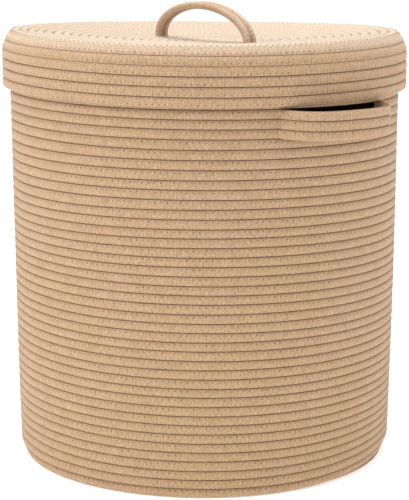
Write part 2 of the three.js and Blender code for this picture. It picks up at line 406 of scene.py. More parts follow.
class GeometryRecipe:
    """A Geometry Nodes tree that is put on a run object and then baked into a plain mesh."""

    tree_name = "recipe"

    def __init__(self) -> None:
        """Makes the tree with its named inputs."""
        self.tree = bpy.data.node_groups.new(self.tree_name, "GeometryNodeTree")
        self.identifiers: dict[str, str] = {}
        self.build = TreeBuilder(self.tree)
        face = self.tree.interface
        face.new_socket("Geometry", in_out="INPUT", socket_type="NodeSocketGeometry")
        face.new_socket("Geometry", in_out="OUTPUT", socket_type="NodeSocketGeometry")
        self.entry = self.build.node("NodeGroupInput")
        self.exit = self.build.node("NodeGroupOutput")

    def ask(self, name: str, kind: str, value: object = None) -> None:
        """Adds a named input.

        Args:
            name: The input's name.
            kind: Its socket type.
            value: Its value when nothing else is set.
        """
        socket = self.tree.interface.new_socket(name, in_out="INPUT", socket_type=kind)
        if value is not None:
            socket.default_value = value
        self.identifiers[name] = socket.identifier

    def named(self, name: str, kind: str = "FLOAT") -> bpy.types.NodeSocket:
        """The value of a named attribute of the run."""
        return self.build.node("GeometryNodeInputNamedAttribute", {"Name": name}, data_type=kind).outputs[0]

    def close(self, geometry: bpy.types.NodeSocket) -> None:
        """Ends the tree in smooth shading, realized instances and the material.

        Args:
            geometry: What the tree has made.
        """
        shaded = self.build.node("GeometryNodeSetShadeSmooth", {"Geometry": geometry})
        real = self.build.node("GeometryNodeRealizeInstances", {"Geometry": shaded.outputs[0]})
        dressed = self.build.node("GeometryNodeSetMaterial",
                                  {"Geometry": real.outputs[0], "Material": self.entry.outputs["Material"]})
        self.tree.links.new(dressed.outputs[0], self.exit.inputs[0])

    def apply(self, name: str, runs: list[Run], values: dict[str, object]) -> bpy.types.Object:
        """Runs the tree on these runs and keeps the result as a plain mesh.

        Args:
            name: The piece's name.
            runs: The runs that it follows.
            values: Values for the tree's named inputs.

        Returns:
            The finished piece.
        """
        source = run_object(name + "_run", runs)
        modifier = source.modifiers.new("recipe", "NODES")
        modifier.node_group = self.tree
        for key, value in values.items():
            modifier[self.identifiers[key]] = value
        graph = bpy.context.evaluated_depsgraph_get()
        mesh = bpy.data.meshes.new_from_object(source.evaluated_get(graph), depsgraph=graph)
        bpy.data.objects.remove(source)
        mesh.name = name
        for key in (*RUN_VECTORS, *RUN_VALUES, "section"):
            if key in mesh.attributes:
                mesh.attributes.remove(mesh.attributes[key])
        if signed_volume(mesh) < 0.0:
            mesh.flip_normals()
        return place(name, mesh)


def signed_volume(mesh: bpy.types.Mesh) -> float:
    """Volume that a mesh's faces enclose.

    Args:
        mesh: The mesh.

    Returns:
        The volume, negative if the faces point inwards.
    """
    mesh.calc_loop_triangles()
    corners = np.empty(len(mesh.loop_triangles) * 3, dtype=np.int32)
    mesh.loop_triangles.foreach_get("vertices", corners)
    points = np.empty(len(mesh.vertices) * 3, dtype=np.float32)
    mesh.vertices.foreach_get("co", points)
    a, b, c = points.reshape(-1, 3)[corners].reshape(-1, 3, 3).transpose(1, 0, 2)
    return float(np.einsum("ij,ij->i", a, np.cross(b, c)).sum() / 6.0)


class RopeRecipe(GeometryRecipe):
    """Sweeps a rounded, flattened rope along a run."""

    tree_name = "rope_along_run"

    def __init__(self) -> None:
        """Builds the sweep."""
        super().__init__()
        self.ask("Sides", "NodeSocketInt", 14)
        self.ask("Squareness", "NodeSocketFloat", 3.2)
        self.ask("Material", "NodeSocketMaterial")
        b = self.build
        curve = b.node("GeometryNodeMeshToCurve", {"Mesh": self.entry.outputs["Geometry"]})
        circle = b.node("GeometryNodeCurvePrimitiveCircle",
                        {"Resolution": self.entry.outputs["Sides"], "Radius": 1.0})
        position = b.node("GeometryNodeInputPosition")
        section = b.node("GeometryNodeStoreNamedAttribute",
                         {"Geometry": circle.outputs["Curve"], "Name": "section",
                          "Value": position.outputs[0]},
                         data_type="FLOAT_VECTOR", domain="POINT")
        swept = b.node("GeometryNodeCurveToMesh", {"Curve": curve.outputs[0],
                                                   "Profile Curve": section.outputs[0], "Fill Caps": True})
        parts = b.node("ShaderNodeSeparateXYZ", {0: self.named("section", "FLOAT_VECTOR")})
        power = b.math("DIVIDE", 2.0, self.entry.outputs["Squareness"])
        out = self.squared(parts.outputs[0], power)
        side = self.squared(parts.outputs[1], power)
        shift_out = b.vector("SCALE", self.named("across", "FLOAT_VECTOR"),
                             scale=b.math("MULTIPLY", out, self.named("half_across")))
        shift_side = b.vector("SCALE", self.named("rise", "FLOAT_VECTOR"),
                              scale=b.math("MULTIPLY", side, self.named("half_rise")))
        spot = b.vector("ADD", self.named("centre", "FLOAT_VECTOR"), b.vector("ADD", shift_out, shift_side))
        placed = b.node("GeometryNodeSetPosition", {"Geometry": swept.outputs[0], "Position": spot})
        rope = b.node("ShaderNodeCombineXYZ", {0: self.named("length"), 1: out, 2: side})
        seam = b.node("ShaderNodeCombineXYZ", {0: self.named("seam_up"), 1: self.named("seam_down")})
        geometry = placed.outputs[0]
        for name, value in (("rope", rope.outputs[0]), ("seam", seam.outputs[0])):
            geometry = b.node("GeometryNodeStoreNamedAttribute",
                              {"Geometry": geometry, "Name": name, "Value": value},
                              data_type="FLOAT_VECTOR", domain="POINT").outputs[0]
        self.close(geometry)

    def squared(self, value: bpy.types.NodeSocket, power: bpy.types.NodeSocket) -> bpy.types.NodeSocket:
        """Pushes one coordinate of a circle out towards a rounded square.

        Args:
            value: The coordinate.
            power: 1 for a circle, less for a squarer section.

        Returns:
            The new coordinate.
        """
        b = self.build
        size = b.math("POWER", b.math("ABSOLUTE", value), power)
        return b.math("MULTIPLY", size, b.math("SIGN", value))


class SeamRecipe(GeometryRecipe):
    """Lays a zigzag thread along a groove: four points of the run make one stitch and its return."""

    tree_name = "zigzag_along_groove"
    THREAD_SIDES = 5

    def __init__(self) -> None:
        """Builds the zigzag."""
        super().__init__()
        self.ask("Reach below", "NodeSocketFloat", 0.0024)
        self.ask("Reach above", "NodeSocketFloat", 0.0016)
        self.ask("Depth below", "NodeSocketFloat", 0.0004)
        self.ask("Depth above", "NodeSocketFloat", 0.0008)
        self.ask("Depth in groove", "NodeSocketFloat", 0.0018)
        self.ask("Thread radius", "NodeSocketFloat", 0.0003)
        self.ask("Material", "NodeSocketMaterial")
        b = self.build
        ask = self.entry.outputs
        quarter = b.math("MULTIPLY", b.node("GeometryNodeInputIndex").outputs[0], math.pi / 2.0)
        swing = b.math("COSINE", quarter)
        below = b.math("MAXIMUM", swing, 0.0)
        above = b.math("MAXIMUM", b.math("MULTIPLY", swing, -1.0), 0.0)
        between = b.math("SUBTRACT", 1.0, b.math("ABSOLUTE", swing))
        shift = b.math("SUBTRACT", b.math("MULTIPLY", above, ask["Reach above"]),
                       b.math("MULTIPLY", below, ask["Reach below"]))
        depth = b.math("MULTIPLY", above, ask["Depth above"])
        depth = b.math("MULTIPLY_ADD", below, ask["Depth below"], depth)
        depth = b.math("MULTIPLY_ADD", between, ask["Depth in groove"], depth)
        out = b.math("SUBTRACT", self.named("half_across"), depth)
        offset = b.vector("ADD", b.vector("SCALE", self.named("across", "FLOAT_VECTOR"), scale=out),
                          b.vector("SCALE", self.named("rise", "FLOAT_VECTOR"), scale=shift))
        placed = b.node("GeometryNodeSetPosition", {"Geometry": ask["Geometry"], "Offset": offset})
        curve = b.node("GeometryNodeMeshToCurve", {"Mesh": placed.outputs[0]})
        circle = b.node("GeometryNodeCurvePrimitiveCircle",
                        {"Resolution": self.THREAD_SIDES, "Radius": ask["Thread radius"]})
        swept = b.node("GeometryNodeCurveToMesh", {"Curve": curve.outputs[0],
                                                   "Profile Curve": circle.outputs["Curve"], "Fill Caps": True})
        self.close(swept.outputs[0])


# ---------------------------------------------------------------- finishes


def new_material(name: str) -> tuple[bpy.types.Material, TreeBuilder, bpy.types.Node]:
    """Makes a material.

    Args:
        name: Its name.

    Returns:
        The material, a builder for its tree, and its surface node.
    """
    material = bpy.data.materials.new(name)
    material.use_nodes = True
    return material, TreeBuilder(material.node_tree), material.node_tree.nodes["Principled BSDF"]


class BraidShading:
    """The node group that every rope finish shares: the plait, the needle holes and the patches.

    A hole row is its height, from -1 to 1 across the rope, and its strength.
    """

    HOLE_ROWS = ((0.46, 1.0), (-0.62, 0.6))
    HOLE_SHADE = 0.9
    HOLE_DEPTH = 1.1
    PLAIT_SLANT = 0.55
    GAP_SHADE = 0.62
    MOTTLE = 0.45
    FUZZ = 0.30
    FUZZ_COLOUR = (1.0, 0.95, 0.88, 1.0)
    PATCH_SCALE = 9.0
    UNEVEN_SCALE = 55.0
    MOTTLE_SCALE = 140.0
    FIBRE_SCALE = 800.0

    def __init__(self) -> None:
        """Builds the group once."""
        self.tree = bpy.data.node_groups.new("braided_rope", "ShaderNodeTree")
        face = self.tree.interface
        for name, value in (("Plaits around", 9.0), ("Plait length", 0.0040), ("Stitch length", 0.0063),
                            ("Rope half width", 0.00475), ("Hole radius", 0.00085), ("Groove shade", 0.8)):
            face.new_socket(name, in_out="INPUT", socket_type="NodeSocketFloat").default_value = value
        for name in ("Light colour", "Dark colour", "Warm colour", "Painted shade colour"):
            face.new_socket(name, in_out="INPUT", socket_type="NodeSocketColor")
        for name, kind in (("Colour", "NodeSocketColor"), ("Height", "NodeSocketFloat"),
                           ("Roughness", "NodeSocketFloat")):
            face.new_socket(name, in_out="OUTPUT", socket_type=kind)
        self.b = TreeBuilder(self.tree)
        self.ask = self.b.node("NodeGroupInput").outputs
        self.exit = self.b.node("NodeGroupOutput")
        self.rope = self.attribute("rope")
        self.seam = self.attribute("seam")
        plait = self.plait()
        fibre = self.fibres()
        holes = self.holes()
        self.finish(plait, fibre, holes)

    def attribute(self, name: str) -> list[bpy.types.NodeSocket]:
        """The three numbers of a named attribute of the piece."""
        read = self.b.node("ShaderNodeAttribute", attribute_name=name, attribute_type="GEOMETRY")
        return list(self.b.node("ShaderNodeSeparateXYZ", {0: read.outputs["Vector"]}).outputs)

    def plait(self) -> bpy.types.NodeSocket:
        """Rows of small chevrons that run along the rope.

        Returns:
            Height of the plait, from 0 to 1.
        """
        b = self.b
        turn = b.math("DIVIDE", b.math("ARCTAN2", self.rope[2], self.rope[1]), 2.0 * math.pi)
        column = b.math("FRACT", b.math("MULTIPLY", turn, self.ask["Plaits around"]))
        peak = b.math("ABSOLUTE", b.math("MULTIPLY_ADD", column, 2.0, -1.0))
        slant = b.math("MULTIPLY", peak, self.PLAIT_SLANT)
        wave = b.math("ADD", b.math("DIVIDE", self.rope[0], self.ask["Plait length"]), slant)
        ridge = b.math("MULTIPLY_ADD", b.math("COSINE", b.math("MULTIPLY", wave, 2.0 * math.pi)), 0.5, 0.5)
        lane = b.math("SUBTRACT", 1.0, b.math("POWER", peak, 3.0))
        return b.math("MULTIPLY", b.math("POWER", ridge, 0.6), b.math("MULTIPLY_ADD", lane, 0.6, 0.4))

    def noise(self, scale: float, detail: float, rough: float = 0.5) -> bpy.types.NodeSocket:
        """Noise on the piece's own coordinates.

        Args:
            scale: Patches in a metre.
            detail: Finer layers laid over it.
            rough: Strength of the finer layers.

        Returns:
            The noise, around 0.5.
        """
        coords = self.b.node("ShaderNodeTexCoord").outputs["Object"]
        made = self.b.node("ShaderNodeTexNoise", {"Vector": coords, "Scale": scale, "Detail": detail,
                                                  "Roughness": rough})
        return made.outputs["Fac"]

    def fibres(self) -> bpy.types.NodeSocket:
        """Fine cotton fuzz."""
        return self.noise(self.FIBRE_SCALE, 4.0, 0.7)

    def holes(self) -> bpy.types.NodeSocket:
        """The needle holes, two rows to a coil, half a stitch apart.

        Returns:
            Their mask, 1 in the middle of a deep hole.
        """
        b = self.b
        rows = []
        for phase, (height, strength) in zip(self.seam, self.HOLE_ROWS):
            step = b.math("SUBTRACT", b.math("FRACT", b.math("ADD", phase, 0.5)), 0.5)
            along = b.math("MULTIPLY", step, self.ask["Stitch length"])
            aside = b.math("SUBTRACT", self.rope[2], height)
            aside = b.math("MULTIPLY", aside, self.ask["Rope half width"])
            away = b.math("MULTIPLY_ADD", along, along, b.math("MULTIPLY", aside, aside))
            away = b.math("SQRT", away)
            near = b.math("DIVIDE", away, self.ask["Hole radius"])
            mask = b.ramp(near, 0.45, 1.25, 1.0, 0.0)
            sewn = b.math("MULTIPLY", b.math("GREATER_THAN", phase, 0.0), strength)
            rows.append(b.math("MULTIPLY", mask, sewn))
        uneven = b.ramp(self.noise(self.UNEVEN_SCALE, 2.0), 0.35, 0.65, 0.35, 1.0)
        return b.math("MULTIPLY", b.math("MAXIMUM", rows[0], rows[1]), uneven)

    def mix(self, factor: object, first: object, second: object) -> bpy.types.NodeSocket:
        """Mixes two colours, 0 for the first and 1 for the second."""
        return self.b.node("ShaderNodeMix", {0: factor, 6: first, 7: second}, data_type="RGBA").outputs[2]

    def finish(self, plait: bpy.types.NodeSocket, fibre: bpy.types.NodeSocket,
               holes: bpy.types.NodeSocket) -> None:
        """Puts the colour, height and roughness together.

        Args:
            plait: Height of the plait.
            fibre: The fuzz.
            holes: Mask of the needle holes.
        """
        b = self.b
        patches = b.ramp(self.noise(self.PATCH_SCALE, 3.0), 0.36, 0.66)
        mottle = b.ramp(self.noise(self.MOTTLE_SCALE, 4.0, 0.7), 0.30, 0.70)
        colour = self.mix(patches, self.ask["Light colour"], self.ask["Warm colour"])
        colour = self.mix(b.math("MULTIPLY", mottle, self.MOTTLE), colour, self.ask["Dark colour"])
        # Painted shade between the plaits: the low parts of the plait are darkened towards the dark colour.
        gaps = b.math("MULTIPLY", b.math("SUBTRACT", 1.0, plait), self.GAP_SHADE)
        colour = self.mix(gaps, colour, self.ask["Dark colour"])
        fuzz = b.math("MULTIPLY", b.ramp(fibre, 0.45, 0.75), self.FUZZ)
        colour = self.mix(fuzz, colour, self.FUZZ_COLOUR)
        # Painted shade: the rope darkens towards the shade colour where it turns into the groove against the
        # next coil.
        edge = b.ramp(b.math("ABSOLUTE", self.rope[2]), 0.84, 1.0)
        sewn = b.math("MULTIPLY", edge, self.ask["Groove shade"])
        colour = self.mix(sewn, colour, self.ask["Painted shade colour"])
        # Painted shade in the needle holes, on top of their dent in the bump.
        colour = self.mix(b.math("MULTIPLY", holes, self.HOLE_SHADE), colour, self.ask["Painted shade colour"])
        height = b.math("ADD", b.math("MULTIPLY", plait, 0.7), b.math("MULTIPLY", fibre, 0.3))
        height = b.math("SUBTRACT", height, b.math("MULTIPLY", holes, self.HOLE_DEPTH))
        rough = b.ramp(fibre, 0.2, 0.8, 0.86, 1.0)
        for name, value in (("Colour", colour), ("Height", height), ("Roughness", rough)):
            self.tree.links.new(value, self.exit.inputs[name])


@dataclass(frozen=True)
class RopeFinish:
    """Braided cotton rope.

    Attributes:
        name: The material's name.
        light: Colour of the raised, clean cotton.
        dark: Colour of the darker mottling, and painted shade between the plaits.
        warm: Colour of the yellower patches.
        hole: Painted shade colour deep in the grooves and needle holes.
        groove: How strongly painted shade darkens the rope where it lies against the next coil.
        half_width: Half the rope's width, for the place of the needle holes.
        stitch: Length of one stitch and its return.
    """

    name: str
    light: tuple[float, float, float, float] = (0.535, 0.350, 0.202, 1.0)
    dark: tuple[float, float, float, float] = (0.352, 0.205, 0.105, 1.0)
    warm: tuple[float, float, float, float] = (0.520, 0.350, 0.178, 1.0)
    hole: tuple[float, float, float, float] = (0.175, 0.078, 0.030, 1.0)
    groove: float = 0.8
    half_width: float = 0.00475
    stitch: float = 0.0063

    PLAIT_DEPTH = 0.0006

    def make(self, shading: BraidShading) -> bpy.types.Material:
        """Builds the material.

        Args:
            shading: The shared rope group.

        Returns:
            The material.
        """
        material, b, surface = new_material(self.name)
        group = b.node("ShaderNodeGroup", node_tree=shading.tree)
        for key, value in (("Light colour", self.light), ("Dark colour", self.dark),
                           ("Warm colour", self.warm), ("Painted shade colour", self.hole),
                           ("Groove shade", self.groove), ("Rope half width", self.half_width),
                           ("Stitch length", self.stitch)):
            group.inputs[key].default_value = value
        bump = b.node("ShaderNodeBump", {"Strength": 0.75, "Distance": self.PLAIT_DEPTH,
                                         "Height": group.outputs["Height"]})
        material.node_tree.links.new(group.outputs["Colour"], surface.inputs["Base Color"])
        material.node_tree.links.new(group.outputs["Roughness"], surface.inputs["Roughness"])
        material.node_tree.links.new(bump.outputs[0], surface.inputs["Normal"])
        surface.inputs["Sheen Weight"].default_value = 0.2
        surface.inputs["Sheen Roughness"].default_value = 0.45
        surface.inputs["Specular IOR Level"].default_value = 0.25
        return material


@dataclass(frozen=True)
class ThreadFinish:
    """Beige sewing thread.

    Attributes:
        name: The material's name.
        light: Colour of the thread.
        dark: Colour of its twist.
    """

    name: str
    light: tuple[float, float, float, float] = (0.500, 0.328, 0.190, 1.0)
    dark: tuple[float, float, float, float] = (0.330, 0.190, 0.100, 1.0)

    TWIST_SCALE = 2600.0
    TWIST_DEPTH = 0.0001

    def make(self) -> bpy.types.Material:
        """Builds the material.

        Returns:
            The material.
        """
        material, b, surface = new_material(self.name)
        coords = b.node("ShaderNodeTexCoord").outputs["Object"]
        twist = b.node("ShaderNodeTexNoise", {"Vector": coords, "Scale": self.TWIST_SCALE,
                                              "Detail": 2.0}).outputs["Fac"]
        strand = b.ramp(twist, 0.35, 0.65)
        colour = b.node("ShaderNodeMix", {0: strand, 6: self.dark, 7: self.light}, data_type="RGBA")
        bump = b.node("ShaderNodeBump", {"Strength": 0.5, "Distance": self.TWIST_DEPTH, "Height": twist})
        material.node_tree.links.new(colour.outputs[2], surface.inputs["Base Color"])
        material.node_tree.links.new(bump.outputs[0], surface.inputs["Normal"])
        surface.inputs["Roughness"].default_value = 0.8
        surface.inputs["Sheen Weight"].default_value = 0.2
        return material


@dataclass
class Workshop:
    """The recipes and finishes that every sub-assembly uses."""

    rope: RopeRecipe = field(default_factory=RopeRecipe)
    seam: SeamRecipe = field(default_factory=SeamRecipe)
    shading: BraidShading = field(default_factory=BraidShading)
    finishes: dict[Slot, bpy.types.Material] = field(init=False)
    lid_top_painted_light_finish: bpy.types.Material = field(init=False)
    lid_edge_painted_light_finish: bpy.types.Material = field(init=False)
    loop_painted_light_finish: bpy.types.Material = field(init=False)
    thread: bpy.types.Material = field(init=False)

    def __post_init__(self) -> None:
        """Makes the materials."""
        self.finishes = {slot: RopeFinish(slot.value).make(self.shading) for slot in Slot}
        # Painted light: the lid's top and its edge coil get lighter, paler copies of the rope's colours because
        # they face the light from above.
        self.lid_top_painted_light_finish = RopeFinish("lid_top_rope", light=(0.660, 0.535, 0.415, 1.0),
                                         dark=(0.480, 0.355, 0.250, 1.0),
                                         warm=(0.650, 0.535, 0.385, 1.0),
                                         hole=(0.230, 0.140, 0.080, 1.0)).make(self.shading)
        self.lid_edge_painted_light_finish = RopeFinish("lid_edge_rope", light=(0.600, 0.445, 0.310, 1.0),
                                          dark=(0.420, 0.280, 0.175, 1.0),
                                          warm=(0.585, 0.440, 0.280, 1.0)).make(self.shading)
        # Painted light: the loop gets a lighter copy of the rope's colour because it faces the light from
        # above.
        self.loop_painted_light_finish = RopeFinish("loop_rope", light=(0.640, 0.500, 0.375, 1.0),
                                      groove=0.15, half_width=0.0043).make(self.shading)
        self.thread = ThreadFinish("sewing_thread").make()

    def wind(self, name: str, runs: list[Run], slot: Slot, sides: int = 14,
             material: bpy.types.Material | None = None, squareness: float = 3.2) -> bpy.types.Object:
        """Makes a rope piece.

        Args:
            name: The piece's name.
            runs: Where its ropes run.
            slot: The record's slot that it takes its finish from.
            sides: Faces round the rope.
            material: The material, where it isn't the slot's own.
            squareness: How square the rope's section is, 2 for round.

        Returns:
            The piece.
        """
        values = {"Sides": sides, "Squareness": squareness, "Material": material or self.finishes[slot]}
        piece = self.rope.apply(name, runs, values)
        LOG.info("%s: %d faces", name, len(piece.data.polygons))
        return piece

    def sew(self, name: str, runs: list[Run], slot: Slot, **sizes: float) -> bpy.types.Object:
        """Makes a seam piece.

        Args:
            name: The piece's name.
            runs: The grooves that it follows, four points to a stitch.
            slot: The record's slot that it goes with; not used.
            sizes: Inputs of the seam tree that differ from its own, with _ for a space.

        Returns:
            The piece.
        """
        values = {"Material": self.thread, **{k.replace("_", " "): v for k, v in sizes.items()}}
        piece = self.seam.apply(name, runs, values)
        LOG.info("%s: %d faces", name, len(piece.data.polygons))
        return piece


# ---------------------------------------------------------------- winding


@dataclass(frozen=True)
class Winding:
    """How a rope climbs from row to row, counted in turns.

    A row is level for most of the way round and steps up to the next one near the joining line,
    or climbs evenly, or something between.

    Attributes:
        rows: How many rows there are.
        even_from: Row above which the rope climbs evenly.
        even_to: Row below which it does.
        ramp_rows: Rows over which it changes from one to the other.
        evenness: 1 climbs evenly all the way round, 0 is level between the steps.
        unevenness: How far a groove wanders, as a share of a row.
    """

    rows: int
    even_from: float
    even_to: float
    ramp_rows: float = 4.0
    evenness: float = 0.6
    unevenness: float = 0.05

    JOIN_ANGLE = math.radians(130.0)
    STEP_SHARE = 0.045

    def angle(self, turn: np.ndarray) -> np.ndarray:
        """Angle round the hamper at a turn; the rope winds clockwise as it climbs."""
        return self.JOIN_ANGLE - 2.0 * math.pi * (turn + 0.5)

    def turn(self, row: float, angle: float) -> float:
        """Turn at which a row passes an angle.

        Args:
            row: The row.
            angle: Radians from +X.

        Returns:
            The turn, within half of the row's number.
        """
        share = ((self.JOIN_ANGLE - angle) / (2.0 * math.pi)) % 1.0
        return row - 0.5 + share

    def boundary(self, turn: np.ndarray) -> np.ndarray:
        """Height of the groove under the rope at a turn, in rows.

        Args:
            turn: How far the rope has been wound.

        Returns:
            Heights, from 0 to the number of rows.
        """
        row = np.floor(turn + 0.5)
        share = turn - row
        near = np.clip((np.abs(share) - 0.5 + self.STEP_SHARE) / self.STEP_SHARE, 0.0, 1.0)
        step = np.sign(share) * smooth(near / 2.0)
        even = (self.evenness * smooth((turn - self.even_from) / self.ramp_rows)
                * smooth((self.even_to - turn) / self.ramp_rows))
        level = row + even * share + (1.0 - even) * step
        wander = sum(np.sin(turn * rate + rate * rate) for rate in (5.13, 8.91, 14.77, 23.31)) / 4.0
        quiet = smooth(turn / 2.0) * smooth((self.rows - turn) / 2.0)
        return np.clip(level + self.unevenness * wander * quiet, 0.0, self.rows)


# ---------------------------------------------------------------- basket


FRONT = math.radians(-40.0)


@dataclass(frozen=True)
class Swell:
    """A place where the rows were sewn higher or lower than even ones.

    Attributes:
        turn: Angle from the front to its middle, in degrees.
        row: Row of its middle.
        width: How far it reaches round the wall, in degrees.
        rows: How many rows it reaches up and down.
        rise: How much higher the rows are in its middle.
    """

    turn: float
    row: float
    width: float
    rows: float
    rise: float

    def at(self, angle: np.ndarray, level: np.ndarray) -> np.ndarray:
        """How much higher the rows are at these places.

        Args:
            angle: Radians from +X.
            level: Heights in rows.

        Returns:
            Heights to add.
        """
        away = np.angle(np.exp(1j * (angle - FRONT - math.radians(self.turn)))) / math.radians(self.width)
        return self.rise * np.exp(-away ** 2 - ((level - self.row) / self.rows) ** 2)


SWELLS = (
    Swell(turn=-75.0, row=40.0, width=50.0, rows=5.0, rise=0.0038),
    Swell(turn=-75.0, row=30.0, width=55.0, rows=4.5, rise=-0.0032),
    Swell(turn=75.0, row=24.0, width=42.0, rows=10.0, rise=-0.0032),
    Swell(turn=78.0, row=0.0, width=33.0, rows=6.0, rise=0.0070),
    Swell(turn=10.0, row=41.0, width=70.0, rows=4.0, rise=0.0016),
)


@dataclass
class Basket:
    """The basket: a flat base spiral, and a wall that is one long rope.

    Attributes:
        sizes: The hamper's sizes.
        shop: Recipes and finishes.
        steps: Points of the wall rope in a turn.
        stitches: Stitches in a turn of the wall.
        slot_angle: Half the angle that a side handle's slot takes.
        winding: How the wall rope climbs.
    """

    sizes: HamperSizes
    shop: Workshop
    steps: int = 200
    stitches: int = 206
    slot_angle: float = field(init=False)
    winding: Winding = field(init=False)

    SAG_SHARE = 0.045
    BOW_SQUARENESS = 4.0
    BOW_SOFTNESS = 0.04
    BASE_OVERLAP = 0.0010
    LEAD_IN = 0.9
    TUCK_ROWS = 1.7
    TUCK_MEAN = 0.6
    BULGE = 0.0010
    WOBBLE = 0.0004
    BLEND_LEAD = 0.002
    BLEND_LENGTH = 0.020
    TAIL_ANGLE = 0.13
    TAIL_NARROWS = 0.10
    TAIL_TAPER = 0.04
    TAIL_STEPS = 24
    TAIL_GAP = 0.0004

    def __post_init__(self) -> None:
        """Works out the winding and the slot's angle."""
        s = self.sizes
        self.winding = Winding(rows=s.rows, even_from=0.0, even_to=s.rows_below_handle - 2.0)
        radius = s.wall_middle(np.array((s.rows_below_handle + s.handle_rows / 2.0) * s.pitch))
        self.slot_angle = math.asin(s.slot_half_length / float(radius))

    def bow(self, angle: np.ndarray) -> np.ndarray:
        """How far a side handle's strand stands off the wall, as a share of its most.

        Args:
            angle: Radians from +X.

        Returns:
            Shares from 0 on the wall to 1 in the middle of a handle.
        """
        away = np.abs((angle + math.pi / 2.0) % math.pi - math.pi / 2.0)
        arch = np.clip(1.0 - (away / self.slot_angle) ** self.BOW_SQUARENESS, 0.0, 1.0)
        return arch * arch / (arch + self.BOW_SOFTNESS)

    def height(self, angle: np.ndarray, level: np.ndarray) -> np.ndarray:
        """Height of a level of the wall, with its unevenness.

        Args:
            angle: Radians from +X.
            level: Heights in rows.

        Returns:
            Heights above the floor.
        """
        return level * self.sizes.pitch + sum(swell.at(angle, level) for swell in SWELLS)

    def surface(self, turn: np.ndarray, level: np.ndarray, bowed: bool) -> tuple[np.ndarray, np.ndarray]:
        """Points in the middle of the wall.

        Args:
            turn: How far the rope has been wound.
            level: Heights in rows.
            bowed: Whether the points are on a side handle.

        Returns:
            The points, and the directions out of the wall.
        """
        s = self.sizes
        angle = self.winding.angle(turn)
        height = self.height(angle, level)
        wobble = self.WOBBLE * np.sin(3.0 * angle + 1.0) * np.sin(level / 5.0)
        radius = s.wall_middle(level * s.pitch) + wobble
        radius = radius + self.BULGE * np.sin(math.pi * np.clip(level / s.rows_below_handle, 0.0, 1.0))
        tuck = s.base_tuck * (self.TUCK_MEAN - (1.0 - self.TUCK_MEAN) * np.cos(2.0 * (angle - FRONT)))
        radius = radius - tuck * (1.0 - smooth(level / self.TUCK_ROWS))
        if bowed:
            share = self.bow(angle)
            radius = radius + s.handle_bow * share
            height = height - self.SAG_SHARE * s.handle_bow * share
        out = around(angle)
        return out * radius[:, None] + UP * height[:, None], out

    def rope(self, first: float, last: float, bowed: bool = False,
             seams: tuple[bool, bool] = (True, True)) -> Run:
        """The wall rope from one turn to another.

        Args:
            first: Turn where the run starts.
            last: Turn where it ends.
            bowed: Whether it is a strand of a side handle.
            seams: Whether the rope is sewn to the row above and to the row below.

        Returns:
            The run.
        """
        turn = np.linspace(first, last, max(8, round((last - first) * self.steps)))
        low, high = self.winding.boundary(turn), self.winding.boundary(turn + 1.0)
        centre, out = self.surface(turn, (low + high) / 2.0, bowed)
        up = (turn + 1.0) * self.stitches if seams[0] else NO_SEAM
        down = turn * self.stitches + 0.5 if seams[1] else NO_SEAM
        angle = self.winding.angle(turn)
        half = (self.height(angle, high) - self.height(angle, low)) / 2.0
        return make_run(centre, out, upward(out), self.sizes.thickness / 2.0, half, up,
                        np.maximum(down, NO_SEAM))

    def groove(self, first: float, last: float, bowed: bool = False) -> Run:
        """The groove under the rope from one turn to another, with four points to a stitch.

        Args:
            first: Turn where the groove starts.
            last: Turn where it ends.
            bowed: Whether it is between two strands of a side handle.

        Returns:
            The run.
        """
        quarters = 4 * self.stitches
        turn = np.arange(4 * math.ceil(first * self.stitches), math.floor(last * quarters) + 1) / quarters
        centre, out = self.surface(turn, self.winding.boundary(turn), bowed)
        return make_run(centre, out, upward(out), self.sizes.thickness / 2.0, 0.0)

    def build(self) -> None:
        """Makes and dresses the whole basket."""
        self.build_base()
        self.build_wall()
        self.build_handle_rows()
        self.build_rim()

    def build_base(self) -> None:
        """The flat spiral under the laundry."""
        s = self.sizes
        radius = s.base_radius - s.thickness + self.BASE_OVERLAP
        turns = round(radius / s.pitch)
        spiral = Spiral(turns=turns, pitch=radius / turns, height=s.thickness / 2.0, facing=-1.0,
                        thickness=s.thickness, stitch=2.0 * math.pi * radius / self.stitches)
        base = self.shop.wind("base_spiral_rope", [spiral.rope()], Slot.BASKET, sides=10)
        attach(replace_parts(base, "base_spiral"), "basket")
        seam = self.shop.sew("base_spiral_seam", [spiral.groove()], Slot.BASKET)
        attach(seam, "basket")

    def build_wall(self) -> None:
        """The plain wall, in three lengths of the one rope."""
        last = self.sizes.rows_below_handle - 0.5
        cuts = np.linspace(-0.5, last, 4)
        cuts[0] -= self.LEAD_IN * Winding.STEP_SHARE
        names = ("lower", "middle", "upper")
        nodes = (("base_edge_coil", "wall_course_1", "wall_course_2"),
                 ("wall_course_3", "wall_course_4"), ("wall_course_5", "wall_course_6"))
        for name, first, end, stands_for in zip(names, cuts[:-1], cuts[1:], nodes):
            wall = self.shop.wind(f"wall_rope_{name}", [self.rope(first, end)], Slot.BASKET)
            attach(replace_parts(wall, *stands_for), "basket")
            seam = self.shop.sew(f"wall_seam_{name}", [self.groove(max(first, 0.5), end)], Slot.BASKET)
            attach(seam, "basket")

    def slot_ends(self, row: int) -> list[float]:
        """Turns at which a row passes both ends of the right slot, then of the left one."""
        half = self.slot_angle
        return [self.winding.turn(row, a) for a in (half, -half, math.pi + half, math.pi - half)]

